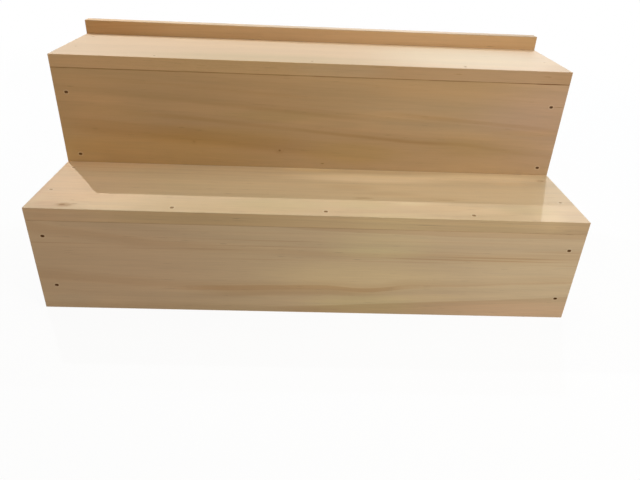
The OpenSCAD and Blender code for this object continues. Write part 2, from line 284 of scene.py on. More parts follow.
TONE_AND_LIGHT_PATCHES = {
    # Lower front: painted light over the right half and along the top, painted shade along the bottom edge,
    # and a painted soft shadow over the left end
    Face("lower_front", Y_AXIS, 0.0): (
        ToneAndLightPatch(0.33, 0.01, 0.24, 0.026, (1.2, 1.17, 1.24)),
        ToneAndLightPatch(0.24, 0.141, 0.27, 0.013, (1.13, 1.16, 1.18)),
        ToneAndLightPatch(0.32, 0.068, 0.2, 0.062, (1.13, 1.16, 1.17)),
        ToneAndLightPatch(0.08, 0.016, 0.12, 0.026, (1.06, 1.12, 1.02)),
        ToneAndLightPatch(0.165, 0.03, 0.09, 0.012, (1.1, 1.11, 1.07)),
        ToneAndLightPatch(0.1, 0.118, 0.11, 0.03, (1.06, 1.1, 1.05)),
        ToneAndLightPatch(0.09, 0.104, 0.1, 0.014, (1.05, 1.09, 1.07)),
        ToneAndLightPatch(0.07, 0.064, 0.18, 0.04, (1.14, 1.17, 1.11)),
        # Painted shade along the bottom edge, as where it meets the counter
        ToneAndLightPatch(-0.18, 0.003, 0.32, 0.014, (0.86, 0.84, 0.8)),
        ToneAndLightPatch(-0.15, 0.018, 0.2, 0.016, (0.93, 0.93, 0.93)),
        ToneAndLightPatch(-0.34, 0.016, 0.06, 0.014, (0.92, 0.94, 0.96)),
        # A painted soft shadow over the left end
        ToneAndLightPatch(-0.3, 0.075, 0.26, 0.2, (0.95, 0.91, 0.93)),
    ),
    Face("lower_shelf", Y_AXIS, -0.1728, 0.0015): (
        # Painted light: the shelf's front edge made paler than the wood of its top
        ToneAndLightPatch(0.15, 0.15, 0.32, 0.024, (1.12, 1.15, 1.13)),
        ToneAndLightPatch(-0.38, 0.15, 0.16, 0.024, (1.1, 1.08, 1.16)),
    ),
    # Lower shelf: painted light along the foot of the upper front and in a pale spot at the edge of the cast
    # shadow, painted shade along that edge, and some of the wood's own tone
    Face("lower_shelf", Z_AXIS, 0.1605): (
        # Painted light along the foot of the upper front, as if thrown back from it, in this patch and the
        # next two
        ToneAndLightPatch(0.21, -0.01, 0.36, 0.05, (1.05, 1.05, 1.0)),
        ToneAndLightPatch(0.085, -0.043, 0.17, 0.022, (1.27, 1.31, 1.38)),
        ToneAndLightPatch(0.27, -0.031, 0.17, 0.018, (1.21, 1.24, 1.31)),
        ToneAndLightPatch(0.31, -0.05, 0.05, 0.012, (1.08, 1.06, 1.04)),
        # Painted shade on the edge of the cast shadow
        ToneAndLightPatch(0.3, -0.139, 0.06, 0.024, (0.9, 0.92, 0.9)),
        ToneAndLightPatch(0.25, -0.166, 0.08, 0.016, (0.94, 0.94, 0.92)),
        # A painted pale spot of light at the edge of the cast shadow
        ToneAndLightPatch(0.14, -0.129, 0.04, 0.008, (1.05, 1.11, 1.12)),
        ToneAndLightPatch(-0.275, -0.164, 0.055, 0.012, (1.09, 1.09, 1.09)),
        ToneAndLightPatch(-0.352, -0.16, 0.035, 0.016, (0.96, 0.9, 0.89)),
        # Painted light at the foot of the upper front
        ToneAndLightPatch(0.0, -0.012, 0.07, 0.016, (1.12, 1.12, 1.06)),
        ToneAndLightPatch(-0.345, -0.098, 0.05, 0.025, (1.07, 1.07, 1.06)),
        ToneAndLightPatch(-0.29, -0.13, 0.1, 0.03, (1.07, 1.07, 1.06)),
        ToneAndLightPatch(0.07, -0.135, 0.06, 0.022, (0.95, 0.98, 0.94)),
        ToneAndLightPatch(-0.04, -0.14, 0.1, 0.03, (0.94, 0.97, 0.93)),
        ToneAndLightPatch(0.11, -0.168, 0.09, 0.012, (1.07, 1.1, 1.08)),
        # Painted shade on the edge of the cast shadow
        ToneAndLightPatch(0.245, -0.126, 0.09, 0.012, (0.9, 0.9, 0.9)),
        # Painted light at the foot of the upper front, at its left end
        ToneAndLightPatch(-0.34, -0.01, 0.17, 0.05, (1.16, 1.09, 1.05)),
        ToneAndLightPatch(-0.34, -0.1, 0.16, 0.08, (1.07, 1.02, 1.04)),
        ToneAndLightPatch(-0.13, -0.16, 0.17, 0.045, (0.93, 0.93, 0.89)),
        ToneAndLightPatch(0.385, -0.15, 0.06, 0.06, (0.94, 0.92, 0.93)),
        ToneAndLightPatch(0.328, -0.155, 0.03, 0.03, (1.06, 1.06, 1.05)),
        ToneAndLightPatch(0.06, -0.078, 0.06, 0.014, (0.94, 0.92, 0.89)),
        ToneAndLightPatch(0.115, -0.097, 0.065, 0.011, (0.94, 0.92, 0.89)),
        ToneAndLightPatch(0.18, -0.11, 0.08, 0.009, (0.94, 0.92, 0.89)),
    ),
    # Upper front: painted light, paler and cooler towards the right and the top, and painted shade, warmer
    # and darker low on the left, with some of the wood's own tone
    Face("upper_front", Y_AXIS, 0.0): (
        ToneAndLightPatch(0.4, 0.245, 0.2, 0.11, (0.99, 1.0, 1.24)),
        ToneAndLightPatch(0.2, 0.25, 0.2, 0.045, (0.98, 1.03, 1.12)),
        ToneAndLightPatch(0.29, 0.208, 0.14, 0.03, (0.96, 0.96, 0.88)),
        ToneAndLightPatch(0.06, 0.188, 0.11, 0.028, (0.99, 0.98, 0.85)),
        ToneAndLightPatch(-0.13, 0.208, 0.17, 0.024, (0.97, 0.95, 0.84)),
        ToneAndLightPatch(-0.35, 0.262, 0.11, 0.05, (1.08, 1.05, 1.03)),
        ToneAndLightPatch(-0.31, 0.232, 0.1, 0.03, (1.05, 1.04, 1.0)),
        ToneAndLightPatch(-0.345, 0.19, 0.06, 0.014, (1.05, 1.04, 1.02)),
        ToneAndLightPatch(0.04, 0.275, 0.11, 0.042, (0.94, 0.96, 0.98)),
        ToneAndLightPatch(0.04, 0.233, 0.06, 0.009, (0.92, 0.93, 0.94)),
        ToneAndLightPatch(0.13, 0.249, 0.12, 0.011, (1.09, 1.07, 1.02)),
        ToneAndLightPatch(0.34, 0.229, 0.08, 0.008, (1.06, 1.04, 0.95)),
        ToneAndLightPatch(-0.06, 0.243, 0.11, 0.014, (0.9, 0.92, 0.87)),
        ToneAndLightPatch(-0.26, 0.175, 0.3, 0.06, (1.05, 1.0, 0.82)),
        ToneAndLightPatch(-0.36, 0.165, 0.06, 0.022, (1.1, 1.12, 1.14)),
        ToneAndLightPatch(-0.08, 0.275, 0.18, 0.035, (0.97, 0.96, 0.95)),
    ),
    # Upper shelf's front edge: warmer at the left and cooler at the right, partly painted light and partly
    # the wood's own tone
    Face("upper_shelf", Y_AXIS, -0.0093, 0.0015): (
        ToneAndLightPatch(-0.05, 0.314, 0.9, 0.03, (1.08, 1.0, 0.86)),
        ToneAndLightPatch(-0.07, 0.314, 0.23, 0.03, (1.07, 1.08, 1.1)),
        ToneAndLightPatch(0.04, 0.314, 0.1, 0.03, (1.0, 1.05, 1.14)),
        ToneAndLightPatch(0.24, 0.314, 0.26, 0.03, (0.93, 0.95, 1.0)),
        ToneAndLightPatch(0.33, 0.314, 0.2, 0.03, (0.97, 0.96, 0.98)),
    ),
    # Top of the upper shelf: a painted sheen over the right, and darker in the middle and at the right end
    Face("upper_shelf", Z_AXIS, 0.3235): (
        # A painted sheen over the right of the top
        ToneAndLightPatch(0.23, 0.07, 0.19, 0.11, (1.07, 1.15, 1.2)),
        ToneAndLightPatch(-0.08, 0.0, 0.26, 0.07, (0.88, 0.91, 0.88)),
        ToneAndLightPatch(0.4, 0.0, 0.08, 0.06, (0.9, 0.88, 0.86)),
    ),
    # Back lip's front: painted shade, darker and warmer at the left end, and painted light, cooler and paler
    # to the right
    Face("back_lip", Y_AXIS, 0.0): (
        ToneAndLightPatch(-0.38, 0.333, 0.17, ACROSS, (0.95, 0.87, 0.78)),
        ToneAndLightPatch(0.1, 0.333, 0.33, ACROSS, (1.0, 1.02, 1.09)),
    ),
    Face("back_lip", Z_AXIS, 0.346, 0.003): (
        # A painted pale, cool sheen along the lip's top
        ToneAndLightPatch(0.0, 0.165, ACROSS, 0.06, (1.04, 1.25, 1.7)),
        # Painted shade at the right end of the lip's top
        ToneAndLightPatch(0.39, 0.165, 0.26, 0.06, (0.7, 0.66, 0.6)),
    ),
}


class ShadedJoint(NamedTuple):
    """Painted shade in the line where a front meets the shelf that lies on it, darker where it stands a
    little open.
    """

    front: str
    shelf: str
    darkness: float
    gape_from: float  # where along the riser it begins to stand open
    gape: float  # how dark it is from there on


SHADED_JOINTS = (
    ShadedJoint("lower_front", "lower_shelf", 0.18, 0.20, 0.20),
    ShadedJoint("upper_front", "upper_shelf", 0.44, 0.29, 0.78),
)

# Distances from a joint between which its painted line of shade fades out, and the length over which it opens
LINE_FADE = (0.45 * MM, 0.95 * MM)
GAPE_FADE = 0.05


class Lamp(NamedTuple):
    """A lamp of the studio, aimed at the middle of the riser, with the power and tint that it starts from."""

    what: str
    kind: str
    place: tuple
    size: float
    power: float
    tint: tuple


LAMPS = {
    "left_lamp": Lamp(
        "lamp behind the riser on the left", "POINT", (-0.872, 0.684, 1.3235), 0.006, 38.0, (0.91, 0.94, 1.0)
    ),
    "right_lamp": Lamp(
        "lamp behind the riser on the right", "POINT", (0.804, 0.997, 1.3235), 0.006, 31.0, (0.66, 0.80, 1.0)
    ),
    "ceiling_lamp": Lamp("broad lamp overhead", "AREA", (0.0, 0.1, 1.8), 1.0, 9.2, (1.0, 0.90, 0.66)),
    "window_lamp": Lamp(
        "broad lamp in front on the right", "AREA", (1.1, -0.9, 1.0), 0.8, 11.2, (1.0, 0.965, 0.865)
    ),
    "back_lamp": Lamp(
        "broad lamp far behind on the right", "AREA", (1.0, 2.0, 0.9), 1.0, 8.5, (0.91, 0.98, 1.0)
    ),
}
AIM = (0.0, 0.0, 0.15)
CAMERA_TURN = (60.326, -2.212, -0.943)
SENSOR_WIDTH = 36.0
FLOOR_SIZE = 24.0

# Distances from the riser between which the floor turns from one that takes a shadow to pure white
FLOOR_FADE = (0.7, 2.2)


class Pattern(NamedTuple):
    """A noise, with how many times it swings per metre along the grain and across it."""

    along: float
    across: float
    detail: float = 2.0
    roughness: float = 0.5


WAVES = Pattern(1.7, 5.0, detail=1.0)
RIPPLES = Pattern(9.0, 42.0)
BLOTCHES = Pattern(3.0, 16.0)
PATCHES = Pattern(3.0, 12.0, detail=3.0)
FIBRES = Pattern(24.0, 950.0)
STRANDS = Pattern(5.0, 230.0, roughness=0.6)
CANALS = Pattern(38.0, 1500.0, detail=0.0)
STREAKS = Pattern(2.6, 330.0, detail=1.0)
STREAK_GROUPS = Pattern(3.0, 60.0, detail=1.0)
CRUSHED_EDGES = Pattern(900.0, 1300.0)
SPOT_EDGES = Pattern(180.0, 700.0)
PLATING = Pattern(900.0, 900.0)

# How far the rings ripple, and how much the seeds of two staves differ
RIPPLE = 0.0035
SEED_STEP = 3.7

# How fast the width of the rings changes, and how many years early or late that makes them
RING_CHANGE = 0.45
RING_DRIFT = 2.6

# The latewood in shares of a year: its earliest start, its longest delay, its height and its end
LATEWOOD_START = 0.20
LATEWOOD_DELAY = 0.35
LATEWOOD_FULL = 0.90
LATEWOOD_END = (0.88, 1.0)

# Darkness of the latewood in the faintest year, and in the palest blotch
FAINTEST_YEAR = 0.15
PALEST_BLOTCH = 0.35

# How dark resin canals are, how much staves differ, and how dark rings are on a sawn end
CANAL_DARKNESS = 0.30
STAVE_DIFFERENCE = 0.12
SAWN_RINGS = 0.55

# Distances from the edge of a stave between which its line of glue fades out, and how dark it is
GLUE_LINE = (0.00008, 0.00030)
GLUE_DARKNESS = 0.35

# Colour of bruised wood and its share, and the share of light that the darkest stain takes away
BRUISED = (1.0, 0.93, 0.80, 1.0)
BRUISE_SHARE = 0.20
STAIN_SHARE = 0.95

# Farther from a nail than any mark of it reaches, and how far its middle may lie outside its board
FAR = 1.0
NAIL_OVERHANG = 0.02

# Distance within which two corners of a mesh are one
MERGE = 0.01 * MM

# The torn rim of a nail's hole: its mesh, its seeds, and how it strays, in swings per millimetre and as
# shares of its length and height
RIM_SEGMENTS = 36
RIM_SIDES = 8
RIM_SEED = 19
RIM_SEED_STEP = 7.1
TEAR_SWINGS = 1.3
TEAR_LENGTH = 0.25
TEAR_HEIGHT = 0.8


def number_setting(name, description, default, **kind):
    return FloatProperty(name=name, description=description, default=default, **kind)


def vector_setting(name, description, default, **kind):
    return FloatVectorProperty(name=name, description=description, default=default, size=3, **kind)


length_setting = partial(number_setting, min=0.0, unit="LENGTH", precision=5)
power_setting = partial(number_setting, min=0.0, unit="POWER")
share_setting = partial(number_setting, min=0.0, max=1.0, subtype="FACTOR")
colour_setting = partial(vector_setting, min=0.0, max=1.0, subtype="COLOR")


def board_setting(board):
    """The colour of a board's earlywood as a setting."""
    title = board.replace("_", " ")
    return colour_setting(title.capitalize(), f"Earlywood of the {title}", EARLYWOOD[board])


def lamp_settings(name):
    """The power and the tint of a lamp as settings."""
    lamp = LAMPS[name]
    title = name.replace("_", " ").capitalize()
    return {
        name: power_setting(title, f"Power of the {lamp.what}", lamp.power),
        f"{name}_tint": colour_setting(f"{title} tint", f"Colour of the {lamp.what}", lamp.tint),
    }


class PineSettings(bpy.types.PropertyGroup):
    """The wood: one colour for each board, and the grain that they share."""

    latewood: colour_setting("Latewood", "Tint of the dark part of a ring", (0.800, 0.680, 0.560))
    end_grain: colour_setting("End grain", "Tint of a sawn end", (0.800, 0.720, 0.620))
    resin: colour_setting("Resin", "Colour of resin streaks and pin knots", (0.110, 0.046, 0.014))
    gloss: share_setting("Gloss", "How much of the light a sanded face mirrors", 0.35)
    relief: length_setting("Relief", "Height of the grain's relief on a sanded face", 0.00005)


PineSettings.__annotations__.update((board, board_setting(board)) for board in EARLYWOOD)


class NailSettings(bpy.types.PropertyGroup):
    """The nails and the wood around their heads."""

    steel: colour_setting("Steel", "Colour of the plated wire", (0.160, 0.150, 0.140))
    hole_length: length_setting("Hole length", "Length of the hole over a head, along the grain", 0.0031)
    hole_width: length_setting("Hole width", "Width of the hole over a head", 0.0013)
    burr_width: length_setting("Burr width", "Width of the torn rim round a hole", 0.0007)
    burr_height: length_setting("Burr height", "Height of the torn rim above the board", 0.00014)
    # The dark ring is partly crushed wood and partly painted shade that widens the shadowed hole
    stain: length_setting("Stain", "Reach of the dark, crushed wood around a hole", 0.0017)
    halo: length_setting("Halo", "Reach of the pale, bruised wood around a hole", 0.0036)


class StageSettings(bpy.types.PropertyGroup):
    """The camera, the lamps and the floor."""

    camera_place: vector_setting(
        "Camera place", "Its place from the middle of the footprint", (-0.0123, -0.8379, 0.5022),
        subtype="TRANSLATION", unit="LENGTH",
    )
    camera_turn: vector_setting(
        "Camera turn", "Its turn from looking straight down", [math.radians(turn) for turn in CAMERA_TURN],
        subtype="EULER", unit="ROTATION",
    )
    camera_lens: number_setting("Camera lens", "Focal length in millimetres", 31.5, min=1.0, unit="CAMERA")
    counter_light: colour_setting(
        "Counter light", "Light that the counter throws up at the riser", (0.500, 0.370, 0.215)
    )
    floor_glow: share_setting("Floor glow", "Share of the floor's white that no shadow dims", 0.94)


for lamp_name in LAMPS:
    StageSettings.__annotations__.update(lamp_settings(lamp_name))


class NodeTree:
    """Adds shader nodes to one tree. A value is a number, a tuple or another node's socket."""

    def __init__(self, tree):
        self.tree = tree

    def add(self, kind, values=None, **settings):
        """Adds a node with these settings, and feeds its inputs by name."""
        node = self.tree.nodes.new(kind)
        for name, value in settings.items():
            setattr(node, name, value)
        for name, value in (values or {}).items():
            self.feed(node.inputs[name], value)
        return node

    def feed(self, socket, value):
        if isinstance(value, bpy.types.NodeSocket):
            self.tree.links.new(value, socket)
        else:
            socket.default_value = value

    def run(self, kind, values, output=0, **settings):
        """Adds a node, feeds its first inputs and gives one of its outputs."""
        node = self.add(kind, **settings)
        for socket, value in zip(node.inputs, values):
            self.feed(socket, value)
        return node.outputs[output]

    def show(self, shader, kind="ShaderNodeOutputMaterial"):
        """Makes the output of a shader the one that the tree shows."""
        self.add(kind, {"Surface": shader})

    def math(self, operation, *values, clamp=False):
        return self.run("ShaderNodeMath", values, operation=operation, use_clamp=clamp)

    def product(self, first, *others):
        for other in others:
            first = self.math("MULTIPLY", first, other)
        return first

    def largest(self, first, *others):
        for other in others:
            first = self.math("MAXIMUM", first, other)
        return first

    def times_plus(self, value, factor, extra, clamp=False):
        return self.math("MULTIPLY_ADD", value, factor, extra, clamp=clamp)

    def vector(self, operation, *values):
        output = "Value" if operation == "LENGTH" else "Vector"
        return self.run("ShaderNodeVectorMath", values, output, operation=operation)

    def total(self, first, *others):
        for other in others:
            first = self.vector("ADD", first, other)
        return first

    def split(self, value):
        return self.add("ShaderNodeSeparateXYZ", {"Vector": value}).outputs

    def join(self, x, y, z):
        return self.run("ShaderNodeCombineXYZ", (x, y, z))

    def triple(self, value):
        """A vector that has a number on each axis."""
        return self.join(value, value, value)

    def ramp(self, value, low, high, to_low=0.0, to_high=1.0):
        """A smooth step of value, from to_low at low to to_high at high."""
        values = (value, low, high, to_low, to_high)
        return self.run("ShaderNodeMapRange", values, interpolation_type="SMOOTHSTEP")

    def window(self, value, low, high, fade):
        """Two ramps whose product is 1 from low to high and fades to 0 beyond them."""
        return self.ramp(value, low - fade, low), self.ramp(value, high, high + fade, 1.0, 0.0)

    def noise_node(self, place, pattern):
        swings = (pattern.along, pattern.across, pattern.across)
        values = {"Vector": self.vector("MULTIPLY", place, swings), "Scale": 1.0}
        values |= titled(pattern, "Detail", "Roughness")
        return self.add("ShaderNodeTexNoise", values, noise_dimensions="3D")

    def noise(self, place, pattern):
        """A number from 0 to 1."""
        return self.noise_node(place, pattern).outputs[0]

    def drift(self, place, pattern):
        """A vector whose numbers lie from -0.5 to 0.5."""
        colour = self.noise_node(place, pattern).outputs["Color"]
        return self.vector("SUBTRACT", colour, (0.5, 0.5, 0.5))

    def line_noise(self, value, detail):
        """A number from 0 to 1 that swings about once for each step of 1 in value."""
        values = {"W": value, "Scale": 1.0, "Detail": detail}
        return self.add("ShaderNodeTexNoise", values, noise_dimensions="1D").outputs[0]

    def chance(self, value):
        """A random number from 0 to 1 for each whole value."""
        return self.add("ShaderNodeTexWhiteNoise", {"W": value}, noise_dimensions="1D").outputs["Value"]

    def mix(self, share, a, b, blend="MIX"):
        node = self.add("ShaderNodeMix", data_type="RGBA", blend_type=blend)
        for name, value in (("Factor_Float", share), ("A_Color", a), ("B_Color", b)):
            socket = next(s for s in node.inputs if s.identifier == name)
            self.feed(socket, value)
        return next(s for s in node.outputs if s.identifier == "Result_Color")

    def tint(self, colour, tint):
        return self.mix(1.0, colour, tint, "MULTIPLY")

    def shade(self, colour, tone):
        """The colour made darker or paler all over by a number."""
        return self.tint(colour, self.triple(tone))

    def vary(self, colour, value, darkest, palest):
        """The colour made darker and paler by a noise."""
        return self.shade(colour, self.ramp(value, 0.25, 0.75, darkest, palest))

    def group(self, name, make, values):
        """A group of nodes, made when it is first used. Gives its output sockets."""
        tree = bpy.data.node_groups.get(name) or make()
        return self.add("ShaderNodeGroup", values, node_tree=tree).outputs


def opaque(colour):
    return (*colour[:3], 1.0)


def of_board(rows, board):
    return [row for row in rows if row.board == board]


def titled(values, *titles):
    """Fields of a named tuple, under the titles of a group's sockets."""
    return {title: getattr(values, title.lower()) for title in titles}


def new_material(name):
    """An empty material. Gives it with its tree."""
    material = bpy.data.materials.new(name)
    material.use_nodes = True
    material.node_tree.nodes.clear()
    return material, NodeTree(material.node_tree)


def new_group(name, inputs, outputs):
    """An empty node group, from the names of its sockets by kind. Gives it with the sockets of both ends."""
    tree = bpy.data.node_groups.new(name, "ShaderNodeTree")
    for way, kinds in (("INPUT", inputs), ("OUTPUT", outputs)):
        for kind, titles in kinds.items():
            for title in titles:
                tree.interface.new_socket(title, in_out=way, socket_type=f"NodeSocket{kind}")
    nodes = NodeTree(tree)
    return nodes, nodes.add("NodeGroupInput").outputs, nodes.add("NodeGroupOutput").inputs


def log_group():
    """How far a place is from the pith of its log, and which stave it lies in."""
    log, given, result = new_group(
        "pine_log",
        {"Vector": ("Place", "Pith", "Lean", "Fan", "Bow"), "Float": ("Push", "Wave", "Stave", "Seed")},
        {"Float": ("Radius", "Stave", "Seed")},
    )
    along, _, height = log.split(given["Place"])

    # Each stave comes from a log of its own, turned the other way up from the last
    stave_place = log.math("ADD", log.math("DIVIDE", height, given["Stave"]), 0.5)
    stave = log.math("FLOOR", stave_place)
    turned = log.times_plus(log.math("FLOORED_MODULO", stave, 2.0), -2.0, 1.0)
    stave_middle = log.product(stave, given["Stave"])
    place = log.vector("SUBTRACT", given["Place"], log.join(0.0, 0.0, stave_middle))
    own = log.times_plus(stave, SEED_STEP, given["Seed"])
    seeded = log.total(given["Place"], log.triple(own))

    # The pith leans and curves, and the rings around it wave and ripple
    slope = log.vector("MULTIPLY_ADD", given["Fan"], place, given["Lean"])
    lean = log.vector("MULTIPLY", slope, log.triple(along))
    bow = log.vector("MULTIPLY", given["Bow"], log.triple(log.product(along, along)))
    pith = log.vector("MULTIPLY", given["Pith"], log.join(1.0, turned, 1.0))
    pith = log.total(pith, lean, bow)
    wave_size = log.join(0.0, given["Wave"], given["Wave"])
    wave = log.vector("MULTIPLY", log.drift(seeded, WAVES), wave_size)
    ripple = log.vector("MULTIPLY", log.drift(seeded, RIPPLES), (0.0, RIPPLE, RIPPLE))
    across = log.total(log.vector("SUBTRACT", place, pith), wave, ripple)
    across = log.vector("MULTIPLY", across, (0.0, 1.0, 1.0))
    log.feed(result["Radius"], log.math("ADD", log.vector("LENGTH", across), given["Push"]))
    log.feed(result["Stave"], stave_place)
    log.feed(result["Seed"], own)
    return log.tree


def latewood_share(wood, given, blotch):
    """How far a place is into the latewood of its year, in rings of uneven width that fade in blotches."""
    years = wood.math("ADD", wood.math("DIVIDE", given["Radius"], given["Ring"]), given["Seed"])
    uneven = wood.line_noise(wood.product(years, RING_CHANGE), detail=1.0)
    years = wood.math("ADD", years, wood.product(uneven, RING_DRIFT))
    year = wood.math("FLOOR", years)
    season = wood.math("SUBTRACT", years, year)
    chance = wood.chance(year)
    start = wood.times_plus(chance, LATEWOOD_DELAY, LATEWOOD_START)
    return wood.product(
        wood.ramp(season, start, LATEWOOD_FULL),
        wood.ramp(season, *LATEWOOD_END, 1.0, 0.0),
        wood.times_plus(chance, 1.0 - FAINTEST_YEAR, FAINTEST_YEAR),
        wood.ramp(blotch, 0.32, 0.62, PALEST_BLOTCH, 1.0),
    )


def fine_streaks(wood, seeded):
    """How dark the fine streaks are, which lie in groups."""
    streak = wood.ramp(wood.noise(seeded, STREAKS), 0.56, 0.72)
    return wood.product(streak, wood.ramp(wood.noise(seeded, STREAK_GROUPS), 0.38, 0.58))


def with_staves(wood, given, colour):
    """The colour with a tone for each stave and a line of glue beside it, in a board that has staves."""
    share = wood.ramp(given["Stave Width"], 0.5, 1.0, 1.0, 0.0)
    tone = wood.product(wood.math("SUBTRACT", wood.chance(given["Seed"]), 0.5), STAVE_DIFFERENCE)
    colour = wood.shade(colour, wood.times_plus(tone, share, 1.0))
    from_edge = wood.product(wood.math("PINGPONG", given["Stave"], 0.5), given["Stave Width"])
    glue = wood.ramp(from_edge, *GLUE_LINE, GLUE_DARKNESS, 0.0)
    return wood.mix(wood.product(glue, share), colour, given["Resin"])


def with_sawn_ends(wood, given, colour, late, end):
    """The colour with sawn ends, which drink in the light: darker, and with the rings standing out."""
    sawn = wood.tint(colour, given["End Grain"])
    sawn = wood.mix(wood.product(late, SAWN_RINGS), sawn, wood.tint(sawn, given["Latewood"]))
    return wood.mix(end, colour, sawn)


def with_marks(wood, given, colour):
    """The colour where wood is bruised, and so paler, or stained or painted with shade, and so dark in
    resin's own tint.
    """
    colour = wood.mix(wood.product(given["Bruise"], BRUISE_SHARE), colour, BRUISED)

    # A power of resin's colour whose green is the share of the light that the stain leaves
    left = wood.times_plus(given["Stain"], -STAIN_SHARE, 1.0)
    power = wood.math("LOGARITHM", left, wood.split(given["Resin"])[1])
    return wood.tint(colour, wood.run("ShaderNodeGamma", (given["Resin"], power)))


def pine_group():
    """The wood itself, as a solid pattern: rings, fibres, resin, staves, sawn ends and marks."""
    numbers = "Radius", "Stave", "Stave Width", "Seed", "Ring", "Contrast", "Mottle", "Bands", "Streaks"
    wood, given, result = new_group(
        "pine_wood",
        {
            "Vector": ("Place", "Facing"),
            "Float": (*numbers, "Stain", "Bruise"),
            "Color": ("Earlywood", "Latewood", "End Grain", "Resin"),
        },
        {"Color": ("Color",), "Float": ("Roughness", "Height")},
    )
    own = given["Seed"]
    seeded = wood.total(given["Place"], wood.triple(own))
    blotch = wood.noise(seeded, BLOTCHES)
    late = latewood_share(wood, given, blotch)
    fibre = wood.noise(seeded, FIBRES)
    strand = wood.noise(seeded, STRANDS)

    # Short resin canals lie in and beside the latewood
    canal = wood.ramp(wood.noise(seeded, CANALS), 0.72, 0.80)
    canal = wood.product(canal, wood.ramp(late, 0.0, 0.5, 0.25, 1.0))

    # Latewood, streaks and bands all darken the wood towards one tint
    dark = wood.product(late, given["Contrast"])
    dark = wood.times_plus(fine_streaks(wood, seeded), given["Streaks"], dark)
    uneven = wood.ramp(blotch, 0.30, 0.60, 0.45, 1.0)
    dark = wood.times_plus(given["Bands"], uneven, dark, clamp=True)
    colour = wood.mix(dark, given["Earlywood"], wood.tint(given["Earlywood"], given["Latewood"]))

    # Soft changes of tone from ring to ring and from place to place, then strands and fibres
    soft_bands = wood.line_noise(wood.times_plus(given["Radius"], 60.0, own), detail=2.0)
    mottled = wood.vary(colour, soft_bands, 0.95, 1.035)
    mottled = wood.vary(mottled, wood.noise(seeded, PATCHES), 0.95, 1.045)
    colour = wood.mix(given["Mottle"], colour, mottled)
    colour = wood.vary(colour, strand, 0.98, 1.018)
    colour = wood.vary(colour, fibre, 0.975, 1.02)
    colour = wood.mix(wood.product(canal, CANAL_DARKNESS), colour, given["Resin"])

    end = wood.ramp(wood.math("ABSOLUTE", wood.split(given["Facing"])[0]), 0.55, 0.95)
    colour = with_staves(wood, given, colour)
    colour = with_sawn_ends(wood, given, colour, late, end)
    wood.feed(result["Color"], with_marks(wood, given, colour))

    rough = wood.ramp(strand, 0.2, 0.8, 0.62, 0.72)
    rough = wood.math("SUBTRACT", rough, wood.product(late, 0.06))
    wood.feed(result["Roughness"], wood.math("ADD", rough, wood.product(end, 0.15)))
    relief = wood.times_plus(late, 0.5, wood.product(fibre, 0.8))
    wood.feed(result["Height"], wood.math("SUBTRACT", relief, canal))
    return wood.tree


def hole_group():
    """How far a place is from the edge of one nail's hole, measured across the nail."""
    hole, given, result = new_group(
        "nail_hole",
        {"Vector": ("Place", "Nail", "Across", "Straight"), "Float": ("Round",)},
        {"Float": ("Distance",)},
    )
    away = hole.vector("SUBTRACT", given["Place"], given["Nail"])
    away = hole.vector("ABSOLUTE", hole.vector("MULTIPLY", away, given["Across"]))
    away = hole.vector("MAXIMUM", hole.vector("SUBTRACT", away, given["Straight"]), (0.0, 0.0, 0.0))
    hole.feed(result["Distance"], hole.math("SUBTRACT", hole.vector("LENGTH", away), given["Round"]))
    return hole.tree


def spot_group():
    """How dark a spot is at a place, and how far it pushes the rings aside."""
    spot, given, result = new_group(
        "dark_spot",
        {"Vector": ("Place", "Middle", "Reach"), "Float": ("Darkness", "Push")},
        {"Float": ("Stain", "Push")},
    )
    away = spot.vector("SUBTRACT", given["Place"], given["Middle"])
    away = spot.vector("LENGTH", spot.vector("DIVIDE", away, given["Reach"]))
    edge = spot.times_plus(spot.noise(given["Place"], SPOT_EDGES), 0.9, away)
    spot.feed(result["Stain"], spot.product(spot.ramp(edge, 0.75, 1.75, 1.0, 0.0), given["Darkness"]))
    spot.feed(result["Push"], spot.product(spot.ramp(away, 0.0, 5.0, 1.0, 0.0), given["Push"]))
    return spot.tree


def board_turn(board):
    """Turns the riser's axes so that X runs along the board's grain."""
    return -math.pi / 2 if board in GRAIN_ALONG_Y else 0.0


def nail_middles(row):
    """The middle of each nail of a row, found in a merged copy of the node's mesh."""
    shape = bmesh.new()
    shape.from_mesh(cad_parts[row.node].data)
    bmesh.ops.remove_doubles(shape, verts=shape.verts, dist=MERGE)
    unseen = set(shape.verts)
    middles = []
    while unseen:
        nail = [unseen.pop()]
        for vert in nail:
            joined = unseen & {edge.other_vert(vert) for edge in vert.link_edges}
            unseen -= joined
            nail += joined
        low = Vector(min(vert.co[axis] for vert in nail) for axis in range(3))
        high = Vector(max(vert.co[axis] for vert in nail) for axis in range(3))
        middles.append((low + high) / 2)
    shape.free()
    low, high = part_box(row.board)
    inside = [
        middle
        for middle in middles
        if all(low[i] - NAIL_OVERHANG < middle[i] < high[i] + NAIL_OVERHANG for i in range(3))
    ]
    return sorted(inside, key=tuple)


